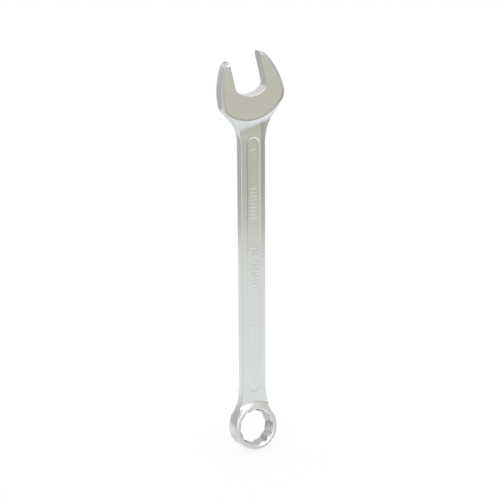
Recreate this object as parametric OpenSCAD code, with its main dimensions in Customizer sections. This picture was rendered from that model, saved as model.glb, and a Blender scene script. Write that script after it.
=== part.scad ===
// Combination wrench: open end and twelve-point ring end of one size on a forged flat shank.
// The wrench is one drop forging, so the whole of it is one node.
// Frame: origin at the centre of the ring socket, +Z along the shank to the open end,
// +X to the right across the width, front face towards -Y. Millimetres.
// The parts are drawn lying down, with X across, Y along the shank and Z towards the front;
// wrench_body stands them up.

/* [Nut size] */
// Size across flats of the nut both ends fit
across_flats = 17; // [16.6:0.1:17.4]
// Clearance of the open jaw over the nut
jaw_play = 0.2; // [0.05:0.05:0.4]
// Clearance of the ring socket over the nut
socket_play = 0.1; // [0.05:0.05:0.3]

/* [Overall] */
// Centre of the ring to centre of the open head, along the shank
centre_dist = 187.7; // [150:0.1:230]

/* [Open end] */
// Thickness of the ground open head
head_t = 6.9; // [6.3:0.1:7.6]
// Angle of the jaw to the shank, towards -X
jaw_angle = 13.5; // [11:0.5:16]
// Sideways shift of the jaw from the head centre, towards -X
jaw_shift = 1.2; // [0.8:0.1:1.5]
// Reach of the jaw tips from the head centre, along the jaw
tip_reach = 15.5; // [14.6:0.1:16.2]
// Radius on the outer corners of the tips
tip_r = 2; // [1.2:0.1:2.6]
// Radius of the round lower edge of the ground faces
face_r = 20.25; // [19.5:0.05:21]
// Width of the forged slope round the head
slope_w = 1.75; // [1:0.05:2.2]
// Drop of that slope at the rim
slope_drop = 0.78; // [0.4:0.02:1]
// Radius of the throat bottom
throat_r = 12; // [11.6:0.1:12.6]
// Height of that radius' centre above the head centre, along the jaw
throat_up = 7.5; // [7:0.1:8]
// Radius in the throat corner on the -X side
throat_corner_left = 4.2; // [3.4:0.1:4.6]
// Radius in the throat corner on the +X side
throat_corner_right = 3.8; // [3:0.1:4.2]

/* [Ring end] */
// Outside diameter of the ring
ring_d = 25.2; // [24.8:0.1:26.4]
// Thickness of the ring
ring_t = 9.8; // [9.2:0.1:10.6]
// Tilt of the ring to the shank
ring_tilt = 15; // [11:0.5:16]
// Offset of the ring centre in front of the shank's middle
ring_front = 0.6; // [0:0.1:1]
// Mouth diameter of the countersinks at the two faces
countersink_d = 20.4; // [20.2:0.1:21.4]
// Side fillet between ring and shank
ring_fillet_r = 50; // [36:1:60]

/* [Shank] */
// Width of the shank
shank_w = 14.2; // [13.4:0.1:14.8]
// Thickness of the shank
shank_t = 5.7; // [5.2:0.1:6]
// Chamfer standing for the rounded long edges
edge_chamfer = 0.7; // [0.4:0.1:1]
// Width of the sunk panel on each face
panel_w = 8; // [6:0.1:9]
// Depth of the sunk panels
panel_depth = 0.42; // [0.2:0.02:0.6]
// Lower end of the panels above the ring centre
panel_low = 21.4; // [21:0.1:40]
// Upper end of the panels below the head centre
panel_high = 25.7; // [25:0.1:40]

/* [Hidden] */

// Head outline about the head centre, each side drawn as if it were the +X one
flank_c_left = [-18.97, -2.05];
flank_r_left = 36.9;
blend_r_left = 5.5;
flank_c_right = [-20.29, -12.44];
flank_r_right = 39.25;
blend_r_right = 9.5;
// Shoulders: [start along the shank, fillet radius, rise angle from +X]
shoulder_left = [-29.2, 18.5, 49.2];
shoulder_right = [-30, 25.5, 53.9];

face_c = [-1.84, 3.21];     // centre of the ground faces' lower edge, about the head centre
face_skirt = 1.8;           // run of the forged skin from ground face to shank face
tip_slope_l = 1.6;          // slope on both faces of the tips
tip_slope_drop = 1.2;
throat_c = [0.1, throat_up];
head_overlap = [20, 17.3];  // below the head centre: where the head starts, the shank ends

socket_flat_r = (across_flats + socket_play) / 2;
socket_corner_r = socket_flat_r / cos(30);
// Ring barrel: [inset from the ring radius, height over half the thickness]
barrel = [[0.65, 1], [0.22, 0.86], [0.08, 0.5], [0, 0.2]];
front_recess_c = [-1.13, -4.92];    // lets the ring's front face into the neck
front_recess_r = 19.3;
back_recess_r = ring_d / 2 - 0.3;
recess_h = 8;
neck_inset = 0.5;   // neck ends stand in from the shank's sides and the ring's faces

// Start of the straight shank, level with the centres of the ring's side fillets
shank_start = sqrt(pow(ring_d / 2 + ring_fillet_r, 2) - pow(shank_w / 2 + ring_fillet_r, 2));

clip_w = 80;        // oversize widths and half height of the clipping blocks
neck_clip_w = 40;
clip_z = 20;

// Points along an arc from one angle to another, in equal steps
function arc(centre, radius, from, to, steps) =
    [for (i = [0 : steps])
        let (a = from + (to - from) * i / steps)
        centre + radius * [cos(a), sin(a)]];

// Direction angle of a point seen from a centre
function bearing(centre, point) = atan2(point[1] - centre[1], point[0] - centre[0]);

// Where a line from start along a unit vector leaves a circle
function meet(start, along, centre, radius) =
    let (offset = start - centre,
         k = offset * along)
    start + (sqrt(k * k - (offset * offset - radius * radius)) - k) * along;

// Profile symmetric between back and front, from its front half listed outwards
function both_faces(half) =
    concat([for (p = half) [p[0], -p[1]]], [for (i = [len(half) - 1 : -1 : 0]) half[i]]);

// One side from the ring up to the tip: ring fillet, shank, shoulder fillet, straight shoulder,
// blend, flank, tip corner. The jaw leans by the angle lean away from this side.
function side(flank_c, flank_r, blend_r, shoulder, lean) =
    let (ring_fillet_c = [shank_w / 2 + ring_fillet_r, shank_start],
         head_c = [0, centre_dist],
         centre = head_c + flank_c,
         fillet_r = shoulder[1],
         rise = shoulder[2],
         along = [cos(rise), sin(rise)],
         inward = [-sin(rise), cos(rise)],
         fillet_c = [shank_w / 2 + fillet_r, centre_dist + shoulder[0]],
         blend_c = meet(fillet_c + (fillet_r + blend_r) * inward, along,
                        centre, flank_r - blend_r),
         tip_c = meet(head_c + (tip_reach - tip_r) * [-sin(lean), cos(lean)],
                      [cos(lean), sin(lean)], centre, flank_r - tip_r),
         flank_low = bearing(centre, blend_c),
         flank_high = bearing(centre, tip_c))
    concat(
        arc(ring_fillet_c, ring_fillet_r, bearing(ring_fillet_c, [0, 0]) + 360, 180, 8),
        arc(fillet_c, fillet_r, 180, 90 + rise, 10),
        arc(blend_c, blend_r, rise - 90, flank_low, 8),
        arc(centre, flank_r, flank_low, flank_high, 16),
        arc(tip_c, tip_r, flank_high, 90 + lean, 6));

side_right = side(flank_c_right, flank_r_right, blend_r_right, shoulder_right, jaw_angle);
side_left = side(flank_c_left, flank_r_left, blend_r_left, shoulder_left, -jaw_angle);
outline = concat(side_right,
                 [for (i = [len(side_left) - 1 : -1 : 0]) [-side_left[i][0], side_left[i][1]]]);

// Whole side outline, centred on the shank's middle plane
module outline_prism(height) {
    translate([0, 0, -height / 2]) linear_extrude(height) polygon(outline);
}

// Block centred across the width
module block(width, y, length, back, front) {
    translate([-width / 2, y, back]) cube([width, length, front - back]);
}

// Children once for the front face and once mirrored for the back
module each_face() {
    for (s = [0, 1]) mirror([0, 0, s]) children();
}

// Places children on the ring's own axis: +Z out of the front face
module on_ring() {
    rotate([-ring_tilt, 0, 0]) children();
}

// Places children about the middle plane of the shank, behind the ring's centre
module on_shank() {
    translate([0, 0, -ring_front]) children();
}

// A disc about one flank's centre, sloped at the rim, so the flank gets the forged slope
module flank_disc(centre, radius) {
    top = head_t / 2;
    translate([centre[0], centre_dist + centre[1], 0]) rotate_extrude($fn = 192)
        polygon(both_faces([[0, top], [radius - slope_w, top], [radius, top - slope_drop]]));
}

// Ground faces end on an arc, and the forged skin falls from it to the shank
module ground_disc() {
    top = head_t / 2;
    skin = shank_t / 2;
    translate([face_c[0], centre_dist + face_c[1], 0]) rotate_extrude($fn = 160)
        polygon(both_faces([[0, top], [face_r, top], [face_r + face_skirt, skin],
                            [face_r + 8, skin]]));
}

// Slab across the jaw, sloped down to the tips on both faces
module tip_slab() {
    top = head_t / 2;
    translate([0, centre_dist, 0]) rotate(jaw_angle) rotate([90, 0, 90])
        translate([0, 0, -clip_w / 2]) linear_extrude(clip_w)
            polygon(both_faces([[-60, top], [tip_reach - tip_slope_l, top],
                                [tip_reach, top - tip_slope_drop]]));
}

module head_plate() {
    intersection() {
        outline_prism(head_t);
        ground_disc();
        flank_disc([-flank_c_left[0], flank_c_left[1]], flank_r_left);
        flank_disc(flank_c_right, flank_r_right);
        block(clip_w, centre_dist - head_overlap[0], 60, -clip_z, clip_z);
        tip_slab();
    }
}

// Centre of a corner arc that touches the throat bottom from inside
function throat_corner_c(x, radius) =
    [x, throat_c[1] - sqrt(pow(throat_r - radius, 2) - pow(x - throat_c[0], 2))];

// Jaw opening: parallel flats, round corners and a curved bottom, open at the tips.
// Drawn in the jaw's own axes: x across the flats, y out of the mouth.
module jaw_slot() {
    height = head_t + 4;
    mouth_y = 40;
    jaw_gap = across_flats + jaw_play;
    x_left = -jaw_gap / 2 - jaw_shift;
    x_right = jaw_gap / 2 - jaw_shift;
    left_c = throat_corner_c(x_left + throat_corner_left, throat_corner_left);
    right_c = throat_corner_c(x_right - throat_corner_right, throat_corner_right);
    left_angle = bearing(throat_c, left_c) + 360;
    right_angle = bearing(throat_c, right_c) + 360;
    translate([0, centre_dist, -height / 2]) rotate(jaw_angle)
        linear_extrude(height) polygon(concat(
            arc(left_c, throat_corner_left, 180, left_angle, 8),
            arc(throat_c, throat_r, left_angle, right_angle, 20),
            arc(right_c, throat_corner_right, right_angle, 360, 8),
            [[x_right, mouth_y], [x_left, mouth_y]]));
}

// The front face's sunk panel, a long slot with round ends
module panel() {
    end_r = panel_w / 2;
    cut_h = 2;
    low = panel_low + end_r;
    high = centre_dist - panel_high - end_r;
    translate([0, 0, shank_t / 2 - panel_depth]) {
        block(panel_w, low, high - low, 0, cut_h);
        for (y = [low, high])
            translate([0, y, 0]) cylinder(r = end_r, h = cut_h, $fn = 48);
    }
}

// Square bars turned on edge, cutting the chamfers of the straight shank
module edge_cuts() {
    length = centre_dist + min(shoulder_left[0], shoulder_right[0]) - shank_start;
    bar = edge_chamfer * sqrt(2);
    for (x = [-1, 1], z = [-1, 1])
        translate([x * shank_w / 2, shank_start, z * shank_t / 2]) rotate([0, 45, 0])
            block(bar, 0, length, -bar / 2, bar / 2);
}

module shank_bar() {
    difference() {
        intersection() {
            outline_prism(shank_t);
            block(clip_w, 0, centre_dist - head_overlap[1], -clip_z, clip_z);
        }
        edge_cuts();
        each_face() panel();
    }
}

// A slightly crowned barrel with eased rims
module ring_solid() {
    half_t = ring_t / 2;
    rim = [for (p = barrel) [ring_d / 2 - p[0], half_t * p[1]]];
    on_ring() rotate_extrude($fn = 128) polygon(both_faces(concat([[0, half_t]], rim)));
}

// Neck from the shank down into the ring, kept behind the floor of the front panel
module ring_neck() {
    intersection() {
        hull() {
            on_shank() block(shank_w - 2 * neck_inset, 17, 1, -shank_t / 2, shank_t / 2);
            intersection() {
                on_ring() translate([0, 0, -ring_t / 2 + neck_inset])
                    cylinder(r = 11, h = ring_t - 2 * neck_inset, $fn = 32);
                block(neck_clip_w, 2, 40, -clip_z, clip_z);
            }
        }
        on_shank() block(neck_clip_w, 0, 40, -clip_z, shank_t / 2 - panel_depth);
    }
}

// Twelve-point socket through the ring, with 45 degree countersinks at both faces
module ring_socket() {
    depth = countersink_d / 2 - socket_flat_r;
    over = 3;
    on_ring() {
        for (a = [0, 30])
            rotate(a) translate([0, 0, -ring_t])
                cylinder(r = socket_corner_r, h = 2 * ring_t, $fn = 6);
        each_face() translate([0, 0, ring_t / 2 - depth])
            cylinder(r1 = socket_flat_r, r2 = countersink_d / 2 + over, h = depth + over, $fn = 96);
        // room over each ground face, cut into the neck beside it
        translate([front_recess_c[0], front_recess_c[1], ring_t / 2])
            cylinder(r = front_recess_r, h = recess_h, $fn = 128);
        mirror([0, 0, 1]) translate([0, 0, ring_t / 2])
            cylinder(r = back_recess_r, h = recess_h, $fn = 96);
    }
}

module wrench_body() {
    color([0.78, 0.79, 0.78])
    rotate([90, 0, 0])
    difference() {
        union() {
            on_shank() head_plate();
            on_shank() shank_bar();
            ring_solid();
            ring_neck();
        }
        on_shank() jaw_slot();
        ring_socket();
    }
}

wrench_body();
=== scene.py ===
"""Combination wrench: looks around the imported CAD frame. Metres, +Z along the shank from the
ring to the open end, front face towards -Y."""
import math
from functools import reduce

import bpy
import numpy as np
from mathutils import Matrix


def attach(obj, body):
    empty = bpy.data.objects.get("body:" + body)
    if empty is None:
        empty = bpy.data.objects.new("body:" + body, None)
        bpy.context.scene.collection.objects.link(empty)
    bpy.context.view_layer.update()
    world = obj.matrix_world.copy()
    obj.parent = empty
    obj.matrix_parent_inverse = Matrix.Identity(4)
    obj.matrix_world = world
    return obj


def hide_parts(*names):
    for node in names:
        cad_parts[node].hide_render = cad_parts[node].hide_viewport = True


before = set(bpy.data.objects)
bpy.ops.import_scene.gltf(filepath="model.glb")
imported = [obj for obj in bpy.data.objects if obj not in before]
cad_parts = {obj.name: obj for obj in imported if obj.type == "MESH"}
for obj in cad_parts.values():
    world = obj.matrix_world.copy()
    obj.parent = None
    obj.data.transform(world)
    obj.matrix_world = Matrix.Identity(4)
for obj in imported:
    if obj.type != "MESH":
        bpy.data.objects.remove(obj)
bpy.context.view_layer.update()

# ---------------------------------------------------------------- dimensions
# Millimetres in (x, u, w): x across the width, u along the shank from the ring centre,
# w out of the front face. s = w + MID_BACK is measured from the middle plane of shank and head.
# Suffixes LEFT and RIGHT mean -x and +x. Each pair (x, u) on the head is from the head centre.
MM = 0.001
CENTRES = 187.7       # ring centre to head centre
MID_BACK = 0.6        # middle plane of shank and head behind the ring centre
HEAD_FROM, RING_TO, RING_FACES_TO = 100, 60, 30     # limits in u of what shapes head and ring

SHANK_W, SHANK_H = 7.1, 2.85                 # half width, half thickness
CROWN_DROP, CROWN_RUN = 0.42, 3.2            # fall of the shank faces to their long edges
PANEL_W, PANEL_LOW, PANEL_HIGH, PANEL_D = 4.0, 21.4, 162.0, 0.42   # half width, ends, depth
PANEL_RIM = 0.9                              # width of the panel's sloping rim
MARK_H, MARK_DROP = 0.105, 0.05              # height of the marks, and how much less far up

HEAD_H = 3.45         # half thickness, ground faces
JAW_TILT = math.radians(13.5)                # leans to the left
TIP, TIP_R = 15.5, 2.0                       # line across both jaw tips, and its rounding
FLANK_LEFT, FLANK_R_LEFT, BLEND_R_LEFT = (18.97, -2.05), 36.9, 5.5
FLANK_RIGHT, FLANK_R_RIGHT, BLEND_R_RIGHT = (-20.29, -12.44), 39.25, 9.5
# shoulder fillet: start in u from the head centre, radius, rise
NECK_LEFT = (-29.2, 18.5, math.radians(49.2))
NECK_RIGHT = (-30.0, 25.5, math.radians(53.9))
FACE_C, FACE_R = (-1.84, 3.21), 20.25        # lower edge of the ground faces
DIP, DIP_AT, DIP_RUN = 0.26, 5.5, 4.2        # hollow below that edge: depth, distance, width
EDGE_W, EDGE_DROP = 1.75, 0.78               # forged slope round the head
GAP, GAP_SHIFT = 17.2, 1.2                   # jaw opening, and its offset to the left
THROAT_C, THROAT_R = (0.1, 7.5), 12.0        # throat arc, centre across and along the jaw
CORNER_R_LEFT, CORNER_R_RIGHT = 4.2, 3.8

RING_R, RING_H, BARREL_H = 12.6, 4.9, 5.2    # half heights of the ground faces and the barrel
RING_TILT = math.radians(15)
FACE_CUT_R = 12.3     # ground recess over the back ring face
RECESS_C, RECESS_R = (-1.13, -4.92), 19.3    # front recess that lets the ring face into the neck
CSK_R, LIP = 10.2, 0.30                      # countersink mouth, and the soft lip round it
SOCKET_R = 8.55
RING_NECK_R = 50.0
RING_NECK_U = math.sqrt((RING_R + RING_NECK_R) ** 2 - (SHANK_W + RING_NECK_R) ** 2)

# ---------------------------------------------------------------- grid of the surface mesh
FINE, COARSE = 0.33, 0.55
HALF_X, HALF_W = 18.6, 8.9
# stretches along u, by turns fine and coarse: fine at both ends and over the marks
U_BREAKS = (-14.2, 34, 55, 67, 80, 106, 119, 136, 150, 206.4)
SLAB = 40             # grid rows sampled at a time, to keep the arrays small


# ---------------------------------------------------------------- field helpers
def round_max(a, b, r):
    """Intersection with a round edge."""
    p = np.maximum(a + r, 0)
    q = np.maximum(b + r, 0)
    return np.minimum(np.maximum(a, b), -r) + np.sqrt(p * p + q * q)


def smooth_min(a, b, width):
    h = np.maximum(width - np.abs(a - b), 0) / width
    return np.minimum(a, b) - h * h * width * 0.25


def smooth_max(a, b, width):
    return -smooth_min(-a, -b, width)


def ease(t):
    t = np.clip(t, 0, 1)
    return t * t * (3 - 2 * t)


def angle_from(centre, point):
    return math.degrees(math.atan2(point[1] - centre[1], point[0] - centre[0]))


def hexagon(x, y, turn):
    """Distance from the centre measured square to the nearest flat of a hexagon."""
    angles = [math.radians(turn + 60 * k) for k in range(3)]
    return reduce(np.maximum, [np.abs(x * math.cos(a) + y * math.sin(a)) for a in angles])


def chain(x, y, pieces):
    """Signed distance to a chain of pieces:
    ("arc", centre x, y, radius, from, to in degrees, 1 for solid inside or -1 outside)
    ("line", x0, y0, x1, y1), solid to the left of its direction."""
    best = np.full(x.shape, 1e6)
    out = np.full(x.shape, 50.0)
    for kind, *piece in pieces:
        if kind == "arc":
            cx, cy, radius, start, end, sign = piece
            dx, dy = x - cx, y - cy
            rho = np.sqrt(dx * dx + dy * dy)
            mid, half = math.radians((start + end) / 2), math.radians(abs(end - start) / 2)
            within = dx * math.cos(mid) + dy * math.sin(mid) >= rho * math.cos(half) - 1e-7
            dist = (rho - radius) * sign
        else:
            x0, y0, x1, y1 = piece
            length = math.hypot(x1 - x0, y1 - y0)
            tx, ty = (x1 - x0) / length, (y1 - y0) / length
            t = (x - x0) * tx + (y - y0) * ty
            within = (t >= -1e-7) & (t <= length + 1e-7)
            dist = (x - x0) * ty - (y - y0) * tx
        nearer = within & (np.abs(dist) < best)
        best = np.where(nearer, np.abs(dist), best)
        out = np.where(nearer, dist, out)
    return out


# ---------------------------------------------------------------- outlines
def side_outline(sign, flank_c, flank_r, blend_r, neck):
    """One side, mirrored to +x: ring neck, shank, shoulder fillet, shoulder, blend, flank."""
    fillet_u, fillet_r, rise = neck
    fillet_u += CENTRES
    fx, fy = flank_c[0] * sign, flank_c[1] + CENTRES
    dx, dy = math.cos(rise), math.sin(rise)
    end_x, end_y = SHANK_W + fillet_r * (1 - dy), fillet_u + fillet_r * dx
    # run along the shoulder until the blend arc touches the flank arc from inside
    qx, qy = end_x - blend_r * dy - fx, end_y + blend_r * dx - fy
    k = qx * dx + qy * dy
    t = -k + math.sqrt(k * k - (qx * qx + qy * qy - (flank_r - blend_r) ** 2))
    shoulder_x, shoulder_y = end_x + t * dx, end_y + t * dy
    blend_c = (shoulder_x - blend_r * dy, shoulder_y + blend_r * dx)
    ring_neck_c = (SHANK_W + RING_NECK_R, RING_NECK_U)
    rise_deg = math.degrees(rise)
    flank_from = angle_from((fx, fy), blend_c)
    return [
        ("arc", *ring_neck_c, RING_NECK_R, 180, angle_from(ring_neck_c, (0, 0)) + 360, -1),
        ("line", SHANK_W, RING_NECK_U, SHANK_W, fillet_u),
        ("arc", SHANK_W + fillet_r, fillet_u, fillet_r, 90 + rise_deg, 180, -1),
        ("line", end_x, end_y, shoulder_x, shoulder_y),
        ("arc", *blend_c, blend_r, rise_deg - 90, flank_from, 1),
        ("arc", fx, fy, flank_r, flank_from, 75, 1),
    ]


def slot_outline():
    """Jaw opening, negative in the air: x across the flats, y out of the mouth."""
    left, right = -GAP / 2 - GAP_SHIFT, GAP / 2 - GAP_SHIFT
    mouth = 60        # beyond the tips

    def corner(cx, radius):
        """Centre of a corner arc that touches the throat arc from inside."""
        return cx, THROAT_C[1] - math.sqrt((THROAT_R - radius) ** 2 - (cx - THROAT_C[0]) ** 2)

    c_left = corner(left + CORNER_R_LEFT, CORNER_R_LEFT)
    c_right = corner(right - CORNER_R_RIGHT, CORNER_R_RIGHT)
    a_left = angle_from(THROAT_C, c_left) + 360
    a_right = angle_from(THROAT_C, c_right) + 360
    return [
        ("line", left, mouth, left, c_left[1]),
        ("arc", *c_left, CORNER_R_LEFT, 180, a_left, 1),
        ("arc", *THROAT_C, THROAT_R, a_left, a_right, 1),
        ("arc", *c_right, CORNER_R_RIGHT, a_right, 360, 1),
        ("line", right, c_right[1], right, mouth),
    ]


OUTLINE_LEFT = side_outline(-1, FLANK_LEFT, FLANK_R_LEFT, BLEND_R_LEFT, NECK_LEFT)
OUTLINE_RIGHT = side_outline(1, FLANK_RIGHT, FLANK_R_RIGHT, BLEND_R_RIGHT, NECK_RIGHT)
SLOT = slot_outline()


# ---------------------------------------------------------------- local frames and cut surfaces
def jaw_axes(x, u):
    """Along the jaw, out of the mouth, and across it."""
    hu = u - CENTRES
    return (-x * math.sin(JAW_TILT) + hu * math.cos(JAW_TILT),
            x * math.cos(JAW_TILT) + hu * math.sin(JAW_TILT))


def ring_axes(u, w):
    """Across the tilted ring towards the shank, and along its axis to the front."""
    return (u * math.cos(RING_TILT) - w * math.sin(RING_TILT),
            u * math.sin(RING_TILT) + w * math.cos(RING_TILT))


def head_face_edge(x, u):
    return np.hypot(x - FACE_C[0], u - CENTRES - FACE_C[1]) - FACE_R


def recess_edge(x, y):
    return np.hypot(x - RECESS_C[0], y - RECESS_C[1]) - RECESS_R


def socket(x, y):
    """Twelve points: two hexagons, one turned by 30 degrees."""
    return np.minimum(hexagon(x, y, 0), hexagon(x, y, 30)) - SOCKET_R


def countersink(rr, z):
    """45 degree cone at both ends of the socket."""
    return (rr - (CSK_R - (RING_H - np.abs(z)))) * 0.7071


# ---------------------------------------------------------------- solid
def mark_shapes(x, u):
    """Distances to the marks in the panel: rows of plain bars, a small hexagon by each end."""
    def bar(cx, cu, half_x, half_u, corner=0.25):
        qx, qu = np.abs(x - cx) - half_x + corner, np.abs(u - cu) - half_u + corner
        outside = np.hypot(np.maximum(qx, 0), np.maximum(qu, 0))
        return outside + np.minimum(np.maximum(qx, qu), 0) - corner

    def hexagon_line(cu, radius, half_line=0.3):
        return np.abs(hexagon(x, u - cu, 30) - radius) - half_line

    yield hexagon_line(153.2, 2.2)
    yield bar(0, 153.2, 0.45, 0.45)
    yield hexagon_line(31.6, 1.9)
    for k in range(9):      # short row: bars of three lengths
        yield bar((0.35, -0.25, 0.1)[k % 3], 119.7 + 1.95 * k, (2.2, 1.5, 1.9)[k % 3], 0.42)
    for k in range(6):      # long row: open boxes with a bar between them
        cu = 81.9 + 4.1 * k
        yield np.abs(bar(0, cu, 2.2, 1.0)) - 0.30
        yield bar(0, cu + 2.05, 1.7, 0.28)
    for k in range(4):      # faint pairs of short bars
        for cx in (-1.2, 1.2):
            yield bar(cx, 56.6 + 2.8 * k, 0.7, 0.4)


def panel_depth(x, u):
    """Depth of the sunk round-ended panel, shallower near the ring, less the raised marks."""
    mid, half = (PANEL_LOW + PANEL_HIGH) / 2, (PANEL_HIGH - PANEL_LOW) / 2 - PANEL_W
    edge = np.sqrt(x * x + np.maximum(np.abs(u - mid) - half, 0) ** 2) - PANEL_W
    sunk = ease(-edge / PANEL_RIM) * (1 - 0.62 * ease((58 - u) / 32))
    raised = 1 - ease((reduce(np.minimum, mark_shapes(x, u)) + 0.16) / 0.34)
    raised = raised * (edge < -PANEL_RIM)
    mark_h = MARK_H - MARK_DROP * ease((u - 112) / 6)
    faint = 0.65 + 0.35 * ease((u - 60) / 25)
    return PANEL_D * sunk - mark_h * raised * faint


def plate_field(x, u, s):
    """Head, necks and shank as one forged plate."""
    hu = u - CENTRES
    depth = np.abs(s)
    outline = np.where(x < 0, chain(-x, u, OUTLINE_LEFT), chain(x, u, OUTLINE_RIGHT))
    outline = np.maximum(outline, 3.0 - u)     # ends inside the ring
    # height of the forged skin over the middle plane
    below = head_face_edge(x, u)
    top = SHANK_H - CROWN_DROP * ease((np.abs(x) - PANEL_W + 0.2) / CROWN_RUN)
    dip = DIP * np.exp(-((below - DIP_AT) / DIP_RUN) ** 2)
    fall = 0.36 + 0.022 * np.clip(x, -6, 7)    # steeper on the right
    height = smooth_max(np.minimum(HEAD_H - fall * below, HEAD_H + 0.4), top - dip, 0.7)
    on_head = ease((hu + 17) / 7)
    slope = HEAD_H - (EDGE_DROP / EDGE_W) * (outline + EDGE_W)
    height = np.where(hu > -17, np.minimum(height, slope + 3.0 * (1 - on_head)), height)
    front = height - panel_depth(x, u)
    back = front + 3.7 * ease((15.5 - u) / 9.5)     # deeper behind, to meet the ring
    # the sides lean in away from the middle plane, more so low on the back by the ring
    draft = 0.12 * np.minimum(depth / 2.7, 1.5) ** 2
    draft_back = 0.22 * np.maximum(-s - 2.8, 0) * (u < 40)
    plate = round_max(outline + draft + draft_back,
                      np.maximum(s - front, -s - back) * 0.95, 0.75 - 0.3 * on_head)
    # rounded jaw tips, bevelled towards the faces
    tip = jaw_axes(x, u)[0] - TIP
    plate = np.where(u > HEAD_FROM, round_max(plate, tip, TIP_R), plate)
    bevel = (tip + 1.6) * 0.60 + (depth - HEAD_H) * 0.80
    return np.where(u > HEAD_FROM, round_max(plate, bevel, 0.4), plate)


def sdf(x, u, w):
    """Signed distance to the whole wrench, negative inside."""
    s = w + MID_BACK
    plate = plate_field(x, u, s)
    y, z = ring_axes(u, w)
    rr = np.sqrt(x * x + y * y)
    on_ring, on_head = u < RING_TO, u > HEAD_FROM
    # ring: a barrel tilted to the shank
    ring = round_max(rr - (RING_R - 0.012 * z * z), np.abs(z) - BARREL_H, 1.1)
    body = np.where(on_ring, smooth_min(plate, ring, 0.7), plate)
    # ground faces of the head
    body = np.where(on_head, round_max(body, np.abs(s) - HEAD_H, 0.12), body)
    # ground faces of the ring, slightly crowned and cut as a recess into the neck
    out_r = np.maximum(rr - CSK_R - 0.4, 0)
    crown = np.where(out_r < 1.7, 0.02 * out_r * out_r, 0.068 * out_r - 0.0578)
    for facing, rim in ((1, recess_edge(x, y)), (-1, rr - FACE_CUT_R)):
        cut = round_max(rim, RING_H - crown - z * facing, 0.2)
        body = np.where(on_ring, round_max(body, -cut, 0.15), body)
    # socket with countersinks
    bored = round_max(round_max(body, -countersink(rr, z), LIP), -socket(x, y), 0.15)
    body = np.where(on_ring, bored, body)
    # jaw opening
    along, across = jaw_axes(x, u)
    return np.where(on_head, round_max(body, -chain(across, along, SLOT), 0.28), body)


# ---------------------------------------------------------------- dual contouring
def grad(points, e=0.02):
    x, u, w = points.T
    gx = sdf(x + e, u, w) - sdf(x - e, u, w)
    gu = sdf(x, u + e, w) - sdf(x, u - e, w)
    gw = sdf(x, u, w + e) - sdf(x, u, w - e)
    return np.stack([gx, gu, gw], -1) / (2 * e)


def unit(v):
    return v / np.maximum(np.linalg.norm(v, axis=-1, keepdims=True), 1e-9)


def crossing(p0, p1, f0, f1):
    """Where the surface cuts each grid edge, tightened from the linear guess."""
    t = f0 / (f0 - f1)
    low, high = np.zeros_like(t), np.ones_like(t)
    for _ in range(3):
        f = sdf(*(p0 + (p1 - p0) * t[:, None]).T)
        same = (f < 0) == (f0 < 0)
        low, high = np.where(same, t, low), np.where(same, high, t)
        f_low, f_high = np.where(same, f, f0), np.where(same, f1, f)
        t = low + (high - low) * np.clip(f_low / (f_low - f_high + 1e-12), 0.05, 0.95)
    return p0 + (p1 - p0) * t[:, None]


def cut_edges(grid, field):
    """Points on the cut grid edges, the four cells round each, and whether its quad keeps order."""
    inside = field < 0
    cells_shape = tuple(n - 1 for n in field.shape)
    points, cells, forward = [], [], []
    for axis in range(3):
        near, far = [slice(None)] * 3, [slice(None)] * 3
        near[axis], far[axis] = slice(0, -1), slice(1, None)
        start = np.stack(np.nonzero(inside[tuple(near)] != inside[tuple(far)]))
        across = [n for n in range(3) if n != axis]
        keep = np.ones(start.shape[1], bool)
        for n in across:
            keep &= (start[n] > 0) & (start[n] < field.shape[n] - 1)
        start = start[:, keep]
        end = start.copy()
        end[axis] += 1
        p0, p1 = (np.stack([g[i] for g, i in zip(grid, ends)], -1) for ends in (start, end))
        points.append(crossing(p0, p1, field[tuple(start)], field[tuple(end)]))
        corners = []
        for shift in ((-1, -1), (0, -1), (0, 0), (-1, 0)):
            cell = start.copy()
            cell[across[0]] += shift[0]
            cell[across[1]] += shift[1]
            corners.append(np.ravel_multi_index(tuple(cell), cells_shape))
        cells.append(np.stack(corners, -1))
        forward.append(inside[tuple(start)] != (axis == 1))
    return np.concatenate(points), np.concatenate(cells), np.concatenate(forward)


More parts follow.
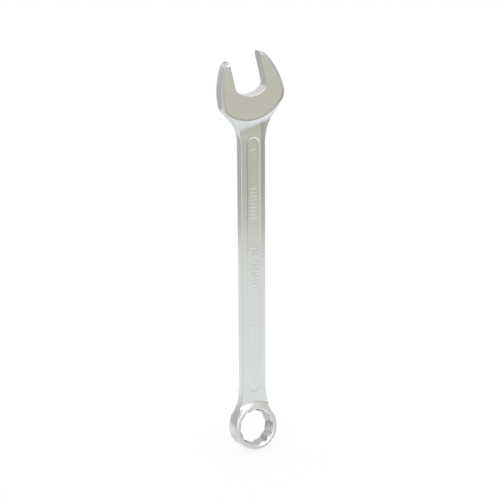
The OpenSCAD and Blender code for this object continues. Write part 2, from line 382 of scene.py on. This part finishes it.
def contour(xs, us, ws):
    """Vertices, quads and normals of the sdf surface on a rectilinear grid."""
    X, U, W = np.meshgrid(xs, us, ws, indexing="ij")
    field = np.empty(X.shape)
    for i in range(0, len(us), SLAB):
        rows = slice(i, i + SLAB)
        field[:, rows] = sdf(X[:, rows], U[:, rows], W[:, rows])
    points, cells, forward = cut_edges((xs, us, ws), field)
    normals = unit(grad(points))
    ids, corner = np.unique(cells.ravel(), return_inverse=True)
    corner = corner.reshape(cells.shape)

    # one vertex per cell, where the planes through its crossings meet best
    n = len(ids)
    count = np.zeros(n)
    mean = np.zeros((n, 3))
    matrix = np.zeros((n, 3, 3))
    target = np.zeros((n, 3))
    outer = normals[:, :, None] * normals[:, None, :]
    offset = normals * (normals * points).sum(-1, keepdims=True)
    for c in range(4):
        v = corner[:, c]
        count += np.bincount(v, minlength=n)
        for i in range(3):
            mean[:, i] += np.bincount(v, points[:, i], n)
            target[:, i] += np.bincount(v, offset[:, i], n)
            for j in range(3):
                matrix[:, i, j] += np.bincount(v, outer[:, i, j], n)
    mean /= count[:, None]
    target -= np.einsum("nij,nj->ni", matrix, mean)
    matrix = matrix / count[:, None, None] + np.eye(3) * 0.02     # pull towards the mean
    verts = mean + np.linalg.solve(matrix, (target / count[:, None])[..., None])[..., 0]

    # keep each vertex in its cell, then settle it on the surface
    ci, cj, ck = np.unravel_index(ids, tuple(size - 1 for size in field.shape))
    low = np.stack([xs[ci], us[cj], ws[ck]], -1)
    high = np.stack([xs[ci + 1], us[cj + 1], ws[ck + 1]], -1)
    pad = 0.02 * (high - low)
    verts = np.clip(verts, low + pad, high - pad)
    for _ in range(2):
        f = np.clip(sdf(*verts.T), -0.1, 0.1)
        g = grad(verts)
        verts = verts - f[:, None] * g / np.maximum((g * g).sum(-1, keepdims=True), 0.25)
    quads = np.where(forward[:, None], corner, corner[:, ::-1])
    return verts, quads, unit(grad(verts, 0.03))


def span(start, end, pitch):
    n = max(2, int(round((end - start) / pitch)))
    return np.linspace(start, end, n + 1)


def to_world(p):
    """(x, u, w) to the world's axes: x, -w, u."""
    return np.stack([p[..., 0], -p[..., 2], p[..., 1]], -1)


# ---------------------------------------------------------------- wrench mesh
def add_object(name, data):
    obj = bpy.data.objects.new(name, data)
    bpy.context.collection.objects.link(obj)
    return obj


def build_mesh():
    us = [U_BREAKS[:1]]
    for k, (start, end) in enumerate(zip(U_BREAKS, U_BREAKS[1:])):
        us.append(span(start, end, (FINE, COARSE)[k % 2])[1:])
    verts, quads, normals = contour(span(-HALF_X, HALF_X, FINE), np.concatenate(us),
                                    span(-HALF_W, HALF_W, FINE))
    mesh = bpy.data.meshes.new("wrench_body_surface")
    co = to_world(verts) * MM
    mesh.vertices.add(len(co))
    mesh.vertices.foreach_set("co", co.astype(np.float32).ravel())
    mesh.loops.add(quads.size)
    mesh.loops.foreach_set("vertex_index", quads.astype(np.int32).ravel())
    mesh.polygons.add(len(quads))
    mesh.polygons.foreach_set("loop_start", np.arange(0, quads.size, 4, dtype=np.int32))
    mesh.polygons.foreach_set("loop_total", np.full(len(quads), 4, np.int32))
    mesh.update(calc_edges=True)
    mesh.validate()
    mesh.polygons.foreach_set("use_smooth", np.ones(len(mesh.polygons), bool))
    mesh.normals_split_custom_set_from_vertices([tuple(n) for n in to_world(normals)])
    add_attributes(mesh, verts)
    return mesh, float(co[:, 2].min())


def add_attributes(mesh, verts):
    """How much each point belongs to the ground faces, cut walls, painted shade lines and the
    painted shade on the jaw tips.
    """
    x, u, w = verts.T
    depth = np.abs(w + MID_BACK)
    y, z = ring_axes(u, w)
    rr = np.hypot(x, y)
    along, across = jaw_axes(x, u)
    on_head, on_ring = u > HEAD_FROM, u < RING_FACES_TO
    recess = recess_edge(x, y)
    ring_face = ((np.abs(np.abs(z) - RING_H + 0.12) < 0.16) & (recess < -0.05)
                 & (rr > CSK_R - 0.3) & on_ring)
    nearer_socket = np.abs(socket(x, y)) < np.abs(countersink(rr, z))
    # painted shade lines: thin dark lines painted where the ground head face ends on its arc, and
    # in the corner of the ring's front recess, where shade falls
    shade_line = (np.exp(-((head_face_edge(x, u) + 0.1) / 0.34) ** 2)
            * (depth > HEAD_H - 0.35) * (u > 150))
    shade_line = np.maximum(shade_line, np.exp(-(recess / 0.3) ** 2) * (z > RING_H - 0.3) * on_ring * (u > 9))
    # painted shade: the rounded jaw tip ends, away from the ground faces, are darkened
    tip = np.clip((along - TIP + 1.0) / 0.8, 0, 1) * (depth < HEAD_H - 0.9)
    for name, values in (
            ("ground", (np.abs(depth - HEAD_H) < 0.03) & on_head),
            ("cut", (rr < CSK_R) & on_ring & nearer_socket & ~ring_face),
            ("jaw", (np.abs(chain(across, along, SLOT)) < 0.06) & on_head),
            ("ring_face", ring_face),
            ("shade_line", shade_line),
            ("tip", tip)):
        attribute = mesh.attributes.new(name, "FLOAT", "POINT")
        attribute.data.foreach_set("value", values.astype(np.float32))
    # distance round the socket and along its axis, for the broaching lines
    broach = np.stack([np.arctan2(y, x) * 9.2 + 0.24 * z, z, np.where(on_ring, 1.0, 0.0)], -1)
    attribute = mesh.attributes.new("broach", "FLOAT_VECTOR", "POINT")
    attribute.data.foreach_set("vector", broach.astype(np.float32).ravel())


mesh, floor_z = build_mesh()
wrench = add_object("wrench_body_visual", mesh)
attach(wrench, "root")
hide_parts("wrench_body")


# ---------------------------------------------------------------- shader helpers
WHITE = (1, 1, 1, 1)
DEGREES = 180 / math.pi


class Nodes:
    """Small helper over a node tree. Inputs take either a socket or a plain value."""

    def __init__(self, owner):
        owner.use_nodes = True
        self.tree = owner.node_tree
        self.tree.nodes.clear()

    def feed(self, socket_in, value):
        if hasattr(value, "is_output"):
            self.tree.links.new(value, socket_in)
        else:
            socket_in.default_value = value

    def new(self, kind, inputs=None, **properties):
        node = self.tree.nodes.new(kind)
        for name, value in properties.items():
            setattr(node, name, value)
        for key, value in (inputs or {}).items():
            self.feed(node.inputs[key], value)
        return node

    def math(self, operation, a, b=0.0, c=0.0, clamp=False):
        inputs = {0: a, 1: b, 2: c}
        node = self.new("ShaderNodeMath", inputs, operation=operation, use_clamp=clamp)
        return node.outputs[0]

    def scaled(self, value, times, plus, clamp=False):
        return self.math("MULTIPLY_ADD", value, times, plus, clamp)

    def ramp(self, factor, stops):
        """stops: (position, (red, green, blue))"""
        node = self.new("ShaderNodeValToRGB", {0: factor})
        ramp = node.color_ramp
        ramp.interpolation = "LINEAR"
        while len(ramp.elements) > 1:
            ramp.elements.remove(ramp.elements[-1])
        ramp.elements[0].position = stops[0][0]
        ramp.elements[0].color = (*stops[0][1], 1)
        for position, color in stops[1:]:
            ramp.elements.new(position).color = (*color, 1)
        return node.outputs[0]

    def angle_ramp(self, angle, low, high, stops):
        """Near-greys along an angle; stops: (degrees, level[, added red, added blue])"""
        size = high - low
        factor = self.scaled(angle, times=1 / size, plus=-low / size)
        colors = []
        for degrees, level, *tint in stops:
            red, blue = tint or (0, 0)
            colors.append(((degrees - low) / size, (level + red, level, level + blue)))
        return self.ramp(factor, colors)

    def mix(self, factor, a, b, blend="MIX"):
        node = self.new("ShaderNodeMix", {0: factor}, data_type="RGBA", blend_type=blend)
        self.feed(node.inputs[6], a)
        self.feed(node.inputs[7], b)
        return node.outputs[2]

    def mix_value(self, factor, a, b):
        inputs = {0: factor, 2: a, 3: b}
        node = self.new("ShaderNodeMix", inputs, data_type="FLOAT", blend_type="MIX")
        return node.outputs[0]

    def mix_shader(self, factor, a, b):
        return self.new("ShaderNodeMixShader", {0: factor, 1: a, 2: b}).outputs[0]

    def soft(self, value, start, end):
        """0 to 1 with soft ends as the value goes from start to end."""
        inputs = {"Value": value, "From Min": start, "From Max": end}
        node = self.new("ShaderNodeMapRange", inputs, interpolation_type="SMOOTHSTEP")
        return node.outputs[0]

    def noise(self, vector, scale=1.0, detail=2.0, roughness=0.5, stretch=None):
        if stretch:
            vector = self.new("ShaderNodeMapping", {"Vector": vector, "Scale": stretch}).outputs[0]
        inputs = {"Vector": vector, "Scale": scale, "Detail": detail, "Roughness": roughness}
        return self.new("ShaderNodeTexNoise", inputs).outputs["Fac"]

    def attribute(self, name, output="Fac"):
        return self.new("ShaderNodeAttribute", attribute_name=name).outputs[output]

    def bump(self, height, strength, distance, **normal):
        inputs = {"Height": height, "Strength": strength, "Distance": distance, **normal}
        return self.new("ShaderNodeBump", inputs).outputs[0]


def new_material(name):
    material = bpy.data.materials.new(name)
    return material, Nodes(material)


# ---------------------------------------------------------------- plated steel
def steel_material():
    """Satin chrome over a forged skin: broad unevenness, fine pits. Ground faces: fine lines."""
    material, nodes = new_material("plated_steel")
    position = nodes.new("ShaderNodeTexCoord").outputs["Object"]
    ground = nodes.attribute("ground")
    cut = nodes.attribute("cut")
    broach = nodes.attribute("broach", "Vector")
    ring_face = nodes.attribute("ring_face")
    # painted shade lines along the head face arc and in the ring recess corner
    shade_line = nodes.attribute("shade_line")
    jaw = nodes.attribute("jaw")
    # painted shade on the rounded jaw tip ends
    tip = nodes.attribute("tip")
    broad = nodes.noise(position, scale=70.0, detail=3.0, roughness=0.55)
    fine = nodes.noise(position, scale=1400.0, roughness=0.6)
    lines = nodes.noise(position, stretch=(900.0, 900.0, 5000.0), roughness=0.6)
    streak = nodes.noise(broach, stretch=(1.35, 0.10, 0.0), detail=1.0)
    patchy = nodes.noise(position, scale=95.0)
    jaw_lines = nodes.noise(position, stretch=(300.0, 6000.0, 300.0), roughness=0.6)

    rough = nodes.mix_value(ground, nodes.scaled(broad, times=0.10, plus=0.15),
                            nodes.scaled(lines, times=0.10, plus=0.24))
    for area, roughness in ((ring_face, 0.13), (cut, 0.30), (jaw, 0.22)):
        rough = nodes.mix_value(area, rough, roughness)

    skin = nodes.ramp(broad, [(0.25, (0.76, 0.77, 0.77)), (0.75, (0.82, 0.82, 0.81))])
    warm = nodes.ramp(lines, [(0.2, (0.785, 0.765, 0.70)), (0.8, (0.86, 0.84, 0.775))])
    pale = nodes.ramp(lines, [(0.2, (0.80, 0.79, 0.755)), (0.8, (0.875, 0.865, 0.83))])
    face = nodes.mix(nodes.scaled(patchy, times=2.6, plus=-0.8, clamp=True), warm, pale)
    ring = nodes.ramp(broad, [(0.3, (0.80, 0.80, 0.79)), (0.7, (0.84, 0.84, 0.82))])
    wall = nodes.ramp(streak, [(0.36, (0.40, 0.42, 0.435)), (0.60, (0.70, 0.715, 0.72))])
    flats = nodes.ramp(jaw_lines, [(0.3, (0.74, 0.73, 0.73)), (0.7, (0.82, 0.81, 0.80))])
    color = skin
    for area, area_color in ((ground, face), (ring_face, ring), (cut, wall), (jaw, flats)):
        color = nodes.mix(area, color, area_color)
    # painted shade on the jaw tips and painted shade lines: mask, strength, colour
    for mask, strength, dark in ((tip, 0.8, (0.48, 0.47, 0.46, 1)),
                                 (shade_line, 0.62, (0.30, 0.30, 0.28, 1))):
        color = nodes.mix(nodes.math("MULTIPLY", mask, strength), color, dark)

    texture = nodes.mix_value(nodes.math("MAXIMUM", ground, ring_face), fine, lines)
    normal = nodes.bump(texture, strength=0.12, distance=0.00004)
    waves = nodes.math("MULTIPLY", broad, nodes.math("SUBTRACT", 1.0, ground))
    normal = nodes.bump(waves, strength=0.25, distance=0.0001, Normal=normal)
    steel = nodes.new("ShaderNodeBsdfPrincipled", {
        "Base Color": color, "Metallic": 1.0, "Roughness": rough, "Normal": normal})
    nodes.new("ShaderNodeOutputMaterial", {"Surface": steel.outputs[0]})
    return material


mesh.materials.append(steel_material())


# ---------------------------------------------------------------- floor
FLOOR_HALF = 6.0


def build_floor():
    """White floor, mostly glowing, that the steel does not mirror."""
    data = bpy.data.meshes.new("floor")
    signs = ((-1, -1), (1, -1), (1, 1), (-1, 1))
    data.from_pydata([(i * FLOOR_HALF, j * FLOOR_HALF, floor_z) for i, j in signs], [],
                     [(0, 1, 2, 3)])
    floor = add_object("floor", data)
    material, nodes = new_material("floor")
    matt = nodes.new("ShaderNodeBsdfDiffuse", {"Color": (0.97, 0.97, 0.97, 1)})
    glow = nodes.new("ShaderNodeEmission", {"Color": WHITE, "Strength": 1.02})
    matt_share = 0.22
    shader = nodes.mix_shader(matt_share, glow.outputs[0], matt.outputs[0])
    nodes.new("ShaderNodeOutputMaterial", {"Surface": shader})
    data.materials.append(material)
    floor.visible_glossy = False


build_floor()

# ---------------------------------------------------------------- mirrored table
TABLE_R, TABLE_SEGMENTS = 0.43, 96
TABLE_FADE = (0.365, 0.405)     # distance from the origin over which the table fades out
TABLE_BELOW = 0.0002            # under the floor
# Angles of the mirrored ray: height over the horizon, azimuth 0 in front and positive to the
# right. Columns: degrees, level[, added red, added blue].
TABLE_BY_HEIGHT = (
    (-90, 0.86), (-60, 0.90), (-47, 1.14), (-38, 0.93, -0.04, 0), (-32, 0.88, -0.04, 0.02),
    (-28, 0.90, -0.03, 0.02), (-25, 0.93, -0.04, -0.01), (-21.5, 0.90, -0.03, -0.02),
    (-19.5, 0.87, -0.02, -0.04), (-17, 0.84, -0.01, -0.03), (-12, 0.77, -0.01, 0.0),
    (-6, 0.72), (0, 0.70))
TABLE_DIM_BY_AZIMUTH = (
    (-180, 1.0), (-145, 1.0), (-120, 0.93), (-30, 0.93), (5, 1.0), (180, 1.0))
TABLE_BACK_BY_AZIMUTH = ((-180, 1.0), (-125, 1.0), (-95, 0.0), (180, 0.0))   # where the next acts
TABLE_BACK_BY_HEIGHT = (
    (-90, 0.72), (-60, 0.71), (-45, 0.70), (-40, 0.76), (-33.5, 0.90), (-29, 1.0), (-13.8, 1.0),
    (-12.5, 0.84), (-10, 0.78), (-7, 0.74), (0, 0.74))


def table_material():
    material, nodes = new_material("table_glow")
    geometry = nodes.new("ShaderNodeNewGeometry")
    incoming = nodes.new("ShaderNodeSeparateXYZ", {0: geometry.outputs["Incoming"]}).outputs
    sine = nodes.math("ABSOLUTE", incoming[2])
    height = nodes.math("MULTIPLY", nodes.math("ARCSINE", sine), -DEGREES)
    turn = nodes.math("ARCTAN2", nodes.math("MULTIPLY", incoming[0], -1.0), incoming[1])
    azimuth = nodes.math("MULTIPLY", turn, DEGREES)
    color = nodes.angle_ramp(height, -90, 0, TABLE_BY_HEIGHT)
    dim = nodes.angle_ramp(azimuth, -180, 180, TABLE_DIM_BY_AZIMUTH)
    back = nodes.angle_ramp(azimuth, -180, 180, TABLE_BACK_BY_AZIMUTH)
    back_dim = nodes.angle_ramp(height, -90, 0, TABLE_BACK_BY_HEIGHT)
    dim = nodes.mix(1.0, dim, nodes.mix(back, WHITE, back_dim), blend="MULTIPLY")
    glow = nodes.new("ShaderNodeEmission", {0: nodes.mix(1.0, color, dim, blend="MULTIPLY")})
    clear = nodes.new("ShaderNodeBsdfTransparent")
    distance = nodes.new("ShaderNodeVectorMath", {0: geometry.outputs["Position"]},
                         operation="LENGTH").outputs["Value"]
    fade = nodes.soft(distance, *TABLE_FADE)
    shader = nodes.mix_shader(fade, glow.outputs[0], clear.outputs[0])
    nodes.new("ShaderNodeOutputMaterial", {"Surface": shader})
    return material


def build_table():
    """The pale table as the steel mirrors it: the head sees past its edge."""
    data = bpy.data.meshes.new("table_glow")
    angles = [2 * math.pi * k / TABLE_SEGMENTS for k in range(TABLE_SEGMENTS)]
    data.from_pydata([(TABLE_R * math.cos(a), TABLE_R * math.sin(a), floor_z - TABLE_BELOW)
                      for a in angles], [], [tuple(range(TABLE_SEGMENTS))])
    table = add_object("table_glow", data)
    data.materials.append(table_material())
    table.visible_camera = False
    table.visible_diffuse = False
    table.visible_shadow = False
    table.visible_transmission = False


build_table()

# ---------------------------------------------------------------- world
# Same angles and columns as for the table.
BEYOND_TABLE = (     # by azimuth, below the horizon
    (-180, 0.50), (-172, 0.52), (-160, 0.53, 0, 0.01), (-150, 0.51), (-110, 0.44), (-75, 0.55),
    (-58, 0.92), (-38, 0.92), (-27, 0.60), (-21, 0.56, -0.02, -0.04), (8, 0.535, 0, -0.04),
    (20, 0.57, 0, -0.08), (27, 0.60, 0.01, -0.10), (32, 0.56, 0.01, -0.10),
    (39, 0.43, 0.01, -0.06), (60, 0.43, 0, -0.05), (85, 0.43, 0, -0.04), (105, 0.60),
    (125, 0.60), (150, 0.60), (166, 0.55), (180, 0.50))
ROUND_HORIZON = (    # by azimuth
    (-180, 0.62), (-168, 0.68), (-156, 0.70), (-149, 0.53), (-100, 0.50), (-66, 0.66),
    (-40, 0.62), (-12, 0.60), (5, 0.75), (38, 0.66), (60, 0.55), (110, 0.66), (140, 0.85),
    (158, 0.88), (170, 0.80), (180, 0.62))
OVERHEAD = ((0, 0.80), (22, 0.86), (40, 0.72), (90, 0.62))     # by height
# overhead soft boxes: azimuth, height, outer and inner half angle
SOFT_BOXES = ((-60, 64, 13, 8), (12, 46, 22, 15), (80, 69, 10, 6), (165, 70, 34, 24))
BOX_COLOR = (1.5, 1.5, 1.5, 1)
# low box in front: bright on its left, dull on its right
WINDOW_BRIGHT, WINDOW_DULL = (1.7, 1.7, 1.7, 1), (0.685, 0.69, 0.64, 1)


def build_world():
    """Studio that only the steel mirrors; every other ray sees plain white."""
    world = bpy.data.worlds.new("studio")
    bpy.context.scene.world = world
    nodes = Nodes(world)
    direction = nodes.new("ShaderNodeTexCoord").outputs["Generated"]
    dx, dy, dz = nodes.new("ShaderNodeSeparateXYZ", {0: direction}).outputs
    height = nodes.math("MULTIPLY", nodes.math("ARCSINE", dz), DEGREES)
    turn = nodes.math("ARCTAN2", dx, nodes.math("MULTIPLY", dy, -1.0))
    azimuth = nodes.math("MULTIPLY", turn, DEGREES)

    def toward(box_azimuth, box_height):
        """Cosine between the ray and a direction."""
        a, e = math.radians(box_azimuth), math.radians(box_height)
        total = nodes.math("MULTIPLY", dx, math.sin(a) * math.cos(e))
        total = nodes.math("MULTIPLY_ADD", dy, -math.cos(a) * math.cos(e), total)
        return nodes.math("MULTIPLY_ADD", dz, math.sin(e), total)

    def between(angle, rise, fall):
        """1 inside two soft limits."""
        rising = nodes.soft(angle, *rise)
        falling = nodes.math("SUBTRACT", 1.0, nodes.soft(angle, *fall))
        return nodes.math("MULTIPLY", rising, falling)

    low = nodes.angle_ramp(azimuth, -180, 180, BEYOND_TABLE)
    middle = nodes.angle_ramp(azimuth, -180, 180, ROUND_HORIZON)
    high = nodes.angle_ramp(height, 0, 90, OVERHEAD)
    for box_azimuth, box_height, outer, inner in SOFT_BOXES:
        mask = nodes.soft(toward(box_azimuth, box_height),
                          math.cos(math.radians(outer)), math.cos(math.radians(inner)))
        high = nodes.mix(mask, high, BOX_COLOR)
    studio = nodes.mix(nodes.soft(height, start=-9, end=-4), low, middle)
    studio = nodes.mix(nodes.soft(height, start=11, end=20), studio, high)
    # the low box, seen by the crowned ring face on its upper left
    window = nodes.math("MULTIPLY", between(azimuth, rise=(-8, 4), fall=(40, 50)),
                        between(height, rise=(-9, -6), fall=(20, 28)))
    window = nodes.math("MULTIPLY", window, nodes.soft(height, start=2.6, end=4.4))
    window_color = nodes.mix(nodes.soft(azimuth, start=21, end=25), WINDOW_BRIGHT, WINDOW_DULL)
    studio = nodes.mix(window, studio, window_color)
    mirrored = nodes.new("ShaderNodeBackground", {"Color": studio, "Strength": 1.0})
    plain = nodes.new("ShaderNodeBackground", {"Color": WHITE, "Strength": 1.0})
    is_glossy = nodes.new("ShaderNodeLightPath").outputs["Is Glossy Ray"]
    shader = nodes.mix_shader(is_glossy, plain.outputs[0], mirrored.outputs[0])
    nodes.new("ShaderNodeOutputWorld", {"Surface": shader})


build_world()

# ---------------------------------------------------------------- camera
YAW, PITCH, ROLL = math.radians(27.264), math.radians(19.310), math.radians(-0.309)
AIM = np.array([0, 93.83, -MID_BACK])     # (x, u, w)
DISTANCE = 633.4
SENSOR, LENS = 36.0, 87.4008
SHIFT_X, SHIFT_Y = -0.00328, 0.02706


def build_camera():
    """In front, above and to the left of the wrench."""
    back = np.array([-math.sin(YAW) * math.cos(PITCH), math.sin(PITCH),
                     math.cos(YAW) * math.cos(PITCH)])
    level = np.cross([0, 1.0, 0], back)
    level /= np.linalg.norm(level)
    upright = np.cross(back, level)
    right = level * math.cos(ROLL) + upright * math.sin(ROLL)
    up = -level * math.sin(ROLL) + upright * math.cos(ROLL)
    place = (AIM + back * DISTANCE) * MM
    data = bpy.data.cameras.new("camera")
    camera = add_object("camera", data)
    matrix = np.eye(4)
    matrix[:3] = np.stack([to_world(v) for v in (right, up, back, place)], -1)
    camera.matrix_world = Matrix(matrix.tolist())
    data.sensor_width = SENSOR
    data.lens = LENS
    data.shift_x, data.shift_y = SHIFT_X, SHIFT_Y
    data.clip_start, data.clip_end = 0.01, 50.0
    bpy.context.scene.camera = camera


build_camera()
bpy.context.scene.view_settings.view_transform = "Standard"
bpy.context.scene.view_settings.look = "None"
